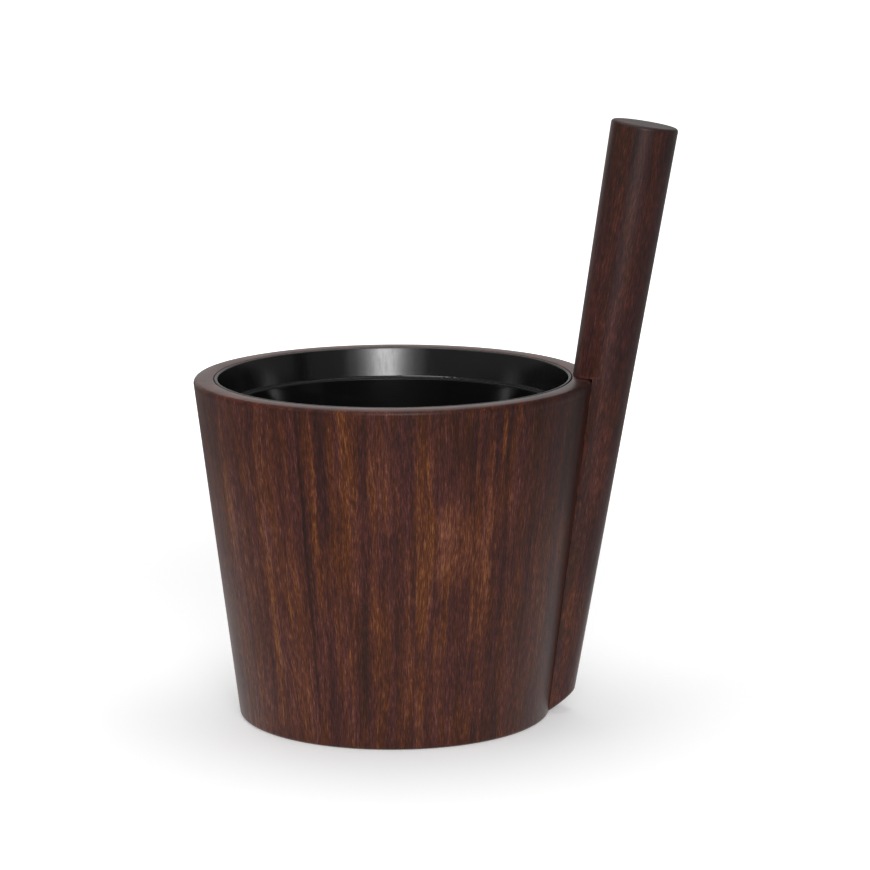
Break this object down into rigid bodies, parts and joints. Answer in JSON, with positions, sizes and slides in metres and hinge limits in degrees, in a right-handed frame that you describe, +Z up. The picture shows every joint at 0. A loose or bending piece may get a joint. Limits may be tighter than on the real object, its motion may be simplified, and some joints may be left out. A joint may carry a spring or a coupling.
{
  "type": "wooden piggin",
  "caption": "Tapered round pail of upright wooden staves, with one tall round handle leaning out from its side and a moulded liner that lifts out, for carrying water and ladling from.",
  "frame": {"origin": "on the floor, in the middle of the oblong that the piggin covers, handle included. The pail's upright axis is at X = -25.15 mm", "axes": "+Z up, +X towards the handle, +Y to the left of someone who looks along +X"},
  "size_m": [0.2896, 0.2394, 0.3608],
  "materials": {
    "lacquered_wood": "dark reddish-brown wood, upright grain, satin lacquer",
    "bottom_wood": "dark brown wood, flat boards, matt",
    "liner_plastic": "black, glossy",
    "screw_steel": "zinc-plated steel"
  },
  "bodies": {
    "pail": {"handle_stave": "lacquered_wood", "stave_01": "lacquered_wood", "stave_02": "lacquered_wood", "stave_03": "lacquered_wood", "stave_04": "lacquered_wood", "stave_05": "lacquered_wood", "stave_06": "lacquered_wood", "stave_07": "lacquered_wood", "stave_08": "lacquered_wood", "stave_09": "lacquered_wood", "stave_10": "lacquered_wood", "stave_11": "lacquered_wood", "stave_12": "lacquered_wood", "stave_13": "lacquered_wood", "stave_14": "lacquered_wood", "stave_15": "lacquered_wood", "stave_16": "lacquered_wood", "stave_17": "lacquered_wood", "stave_18": "lacquered_wood", "stave_19": "lacquered_wood", "bottom_board_1": "bottom_wood", "bottom_board_2": "bottom_wood", "bottom_board_3": "bottom_wood", "handle": "lacquered_wood", "handle_screws": "screw_steel"},
    "liner": {"liner": "liner_plastic"}
  },
  "joints": [
    {"name": "liner_lift", "type": "slide", "parent": "pail", "child": "liner", "axis": [0, 0, 1], "range_m": [0, 0.19]}
  ]
}
